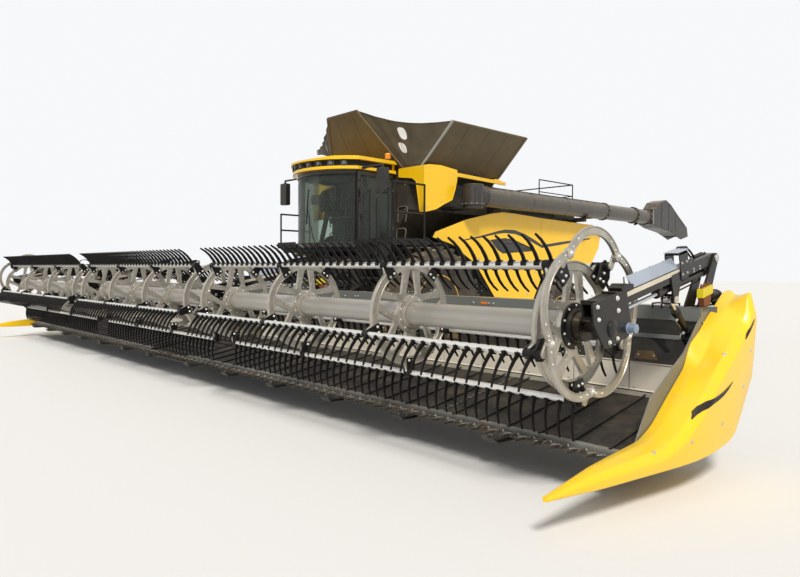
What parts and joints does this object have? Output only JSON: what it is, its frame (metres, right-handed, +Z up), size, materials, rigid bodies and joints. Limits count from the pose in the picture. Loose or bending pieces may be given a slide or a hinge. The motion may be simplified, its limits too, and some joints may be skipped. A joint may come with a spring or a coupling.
{
  "type": "combine harvester",
  "caption": "Combine harvester with a wide draper header, finger reel, glazed cab, open-topped grain tank with spread covers and a side unloading auger.",
  "frame": {"origin": "centre of the whole machine's footprint box on the ground, header and unloading auger included", "axes": "+X to the machine's left, along the header's width; -Y forward, the way it drives; +Z up"},
  "size_m": [15.8006, 14.7, 4.568],
  "materials": {
    "frame_paint": "satin",
    "body_dark": "satin",
    "engine": "matte",
    "canvas": "matte",
    "yellow_paint": "gloss",
    "cab_black": "satin",
    "cab_plastic": "matte",
    "seat_cloth": "matte",
    "clear_glass": "polished",
    "lamp_lens": "polished",
    "auger_grey": "satin",
    "boot_rubber": "satin",
    "header_grey": "satin",
    "belt_rubber": "matte",
    "bright_steel": "satin",
    "black_steel": "satin",
    "reel_grey": "satin",
    "tyre_rubber": "matte",
    "rim_paint": "satin",
    "rod_chrome": "polished"
  },
  "bodies": {
    "machine": {"chassis_frame": "frame_paint", "front_axle": "frame_paint", "rear_axle": "frame_paint", "threshing_body": "body_dark", "service_deck": "frame_paint", "engine_block": "engine", "engine_hood": "body_dark", "grain_tank": "body_dark", "tank_covers": "body_dark", "tank_gussets": "canvas", "tank_cheeks": "yellow_paint", "fixed_panels": "yellow_paint", "straw_hood": "yellow_paint", "cab_frame": "cab_black", "cab_roof": "yellow_paint", "cab_glass": "clear_glass", "cab_seat": "seat_cloth", "cab_controls": "cab_plastic", "platform": "cab_black", "ladder": "cab_black", "mirrors": "cab_plastic", "lamps": "lamp_lens", "auger_base": "frame_paint"},
    "side_panel_left": {"side_panel_left": "yellow_paint"},
    "side_panel_right": {"side_panel_right": "yellow_paint"},
    "cab_door": {"cab_door": "cab_black", "cab_door_glass": "clear_glass"},
    "auger": {"auger_tube": "auger_grey", "auger_spout": "boot_rubber"},
    "header": {"feeder_house": "header_grey", "header_frame": "header_grey", "header_supports": "header_grey", "reel_brackets": "black_steel", "draper_decks": "belt_rubber", "cutterbar": "bright_steel", "dividers": "yellow_paint"},
    "reel_arms": {"reel_arms": "black_steel"},
    "reel_slides": {"reel_slides": "black_steel"},
    "reel_left": {"reel_core_left": "reel_grey", "reel_bats_left": "reel_grey"},
    "reel_middle": {"reel_core_middle": "reel_grey", "reel_bats_middle": "reel_grey"},
    "reel_right": {"reel_core_right": "reel_grey", "reel_bats_right": "reel_grey"},
    "front_wheel_left": {"front_tyre_left": "tyre_rubber", "front_rim_left": "rim_paint"},
    "front_wheel_right": {"front_tyre_right": "tyre_rubber", "front_rim_right": "rim_paint"},
    "knuckle_left": {"knuckle_left": "frame_paint"},
    "knuckle_right": {"knuckle_right": "frame_paint"},
    "rear_wheel_left": {"rear_tyre_left": "tyre_rubber", "rear_rim_left": "rim_paint"},
    "rear_wheel_right": {"rear_tyre_right": "tyre_rubber", "rear_rim_right": "rim_paint"},
    "lift_barrels": {"lift_barrels": "black_steel"},
    "lift_rods": {"lift_rods": "rod_chrome"},
    "reel_lift_barrels": {"reel_lift_barrels": "black_steel"},
    "reel_lift_rods": {"reel_lift_rods": "rod_chrome"}
  },
  "joints": [
    {"name": "front_wheel_turn_left", "type": "hinge", "parent": "machine", "child": "front_wheel_left", "pos_m": [1.6, -2.3, 1.03], "axis": [-1, 0, 0], "continuous": true},
    {"name": "front_wheel_turn_right", "type": "hinge", "parent": "machine", "child": "front_wheel_right", "pos_m": [-1.6, -2.3, 1.03], "axis": [-1, 0, 0], "continuous": true},
    {"name": "steer_left", "type": "hinge", "parent": "machine", "child": "knuckle_left", "pos_m": [1.08, 1.8, 0.745], "axis": [0, 0, 1], "range_deg": [-25, 25]},
    {"name": "steer_right", "type": "hinge", "parent": "machine", "child": "knuckle_right", "pos_m": [-1.08, 1.8, 0.745], "axis": [0, 0, 1], "range_deg": [-25, 25]},
    {"name": "rear_wheel_turn_left", "type": "hinge", "parent": "knuckle_left", "child": "rear_wheel_left", "pos_m": [1.46, 1.8, 0.745], "axis": [-1, 0, 0], "continuous": true},
    {"name": "rear_wheel_turn_right", "type": "hinge", "parent": "knuckle_right", "child": "rear_wheel_right", "pos_m": [-1.46, 1.8, 0.745], "axis": [-1, 0, 0], "continuous": true},
    {"name": "header_lift", "type": "hinge", "parent": "machine", "child": "header", "pos_m": [0, -3.05, 1.75], "axis": [-1, 0, 0], "range_deg": [-3, 16]},
    {"name": "lift_barrel_turn", "type": "hinge", "parent": "machine", "child": "lift_barrels", "pos_m": [0, -2.8, 0.82], "axis": [-1, 0, 0], "range_deg": [-3.66, 15.21]},
    {"name": "lift_rod_slide", "type": "slide", "parent": "lift_barrels", "child": "lift_rods", "axis": [0, -0.9871, -0.1604], "range_m": [-0.0592, 0.2726]},
    {"name": "reel_lift", "type": "hinge", "parent": "header", "child": "reel_arms", "pos_m": [0, -4.82, 1.76], "axis": [-1, 0, 0], "range_deg": [0, 20]},
    {"name": "reel_lift_barrel_turn", "type": "hinge", "parent": "header", "child": "reel_lift_barrels", "pos_m": [0, -5.19, 1.1], "axis": [-1, 0, 0], "range_deg": [-1, 13.29]},
    {"name": "reel_lift_rod_slide", "type": "slide", "parent": "reel_lift_barrels", "child": "reel_lift_rods", "axis": [0, -0.7474, 0.6644], "range_m": [-0.01, 0.2612]},
    {"name": "reel_slide", "type": "slide", "parent": "reel_arms", "child": "reel_slides", "axis": [0, 0.9799, 0.1994], "range_m": [-0.05, 0.45]},
    {"name": "reel_turn_middle", "type": "hinge", "parent": "reel_slides", "child": "reel_middle", "pos_m": [0, -6.55, 1.25], "axis": [1, 0, 0], "continuous": true},
    {"name": "reel_turn_left", "type": "hinge", "parent": "reel_slides", "child": "reel_left", "pos_m": [0, -6.55, 1.25], "axis": [1, 0, 0], "continuous": true},
    {"name": "reel_turn_right", "type": "hinge", "parent": "reel_slides", "child": "reel_right", "pos_m": [0, -6.55, 1.25], "axis": [1, 0, 0], "continuous": true},
    {"name": "auger_swing", "type": "hinge", "parent": "machine", "child": "auger", "pos_m": [1.83, -1.34, 2.84], "axis": [0, 0, -1], "range_deg": [0, 100]},
    {"name": "cab_door_swing", "type": "hinge", "parent": "machine", "child": "cab_door", "pos_m": [0.878, -2.438, 2.8], "axis": [0, 0, 1], "range_deg": [0, 70]},
    {"name": "side_panel_lift_left", "type": "hinge", "parent": "machine", "child": "side_panel_left", "pos_m": [1.575, 0.25, 2.765], "axis": [0, -1, 0], "range_deg": [0, 65]},
    {"name": "side_panel_lift_right", "type": "hinge", "parent": "machine", "child": "side_panel_right", "pos_m": [-1.575, 0.25, 2.765], "axis": [0, 1, 0], "range_deg": [0, 65]}
  ],
  "couplings": [
    {"joint": "steer_right", "follows": "steer_left", "ratio": 1},
    {"joint": "lift_barrel_turn", "follows": "header_lift", "ratio": 0.88831},
    {"joint": "lift_rod_slide", "follows": "header_lift", "m_per_rad": 0.94045},
    {"joint": "reel_lift_barrel_turn", "follows": "reel_lift", "ratio": 0.61452},
    {"joint": "reel_lift_rod_slide", "follows": "reel_lift", "m_per_rad": 0.71969},
    {"joint": "reel_turn_left", "follows": "reel_turn_middle", "ratio": 1},
    {"joint": "reel_turn_right", "follows": "reel_turn_middle", "ratio": 1}
  ]
}
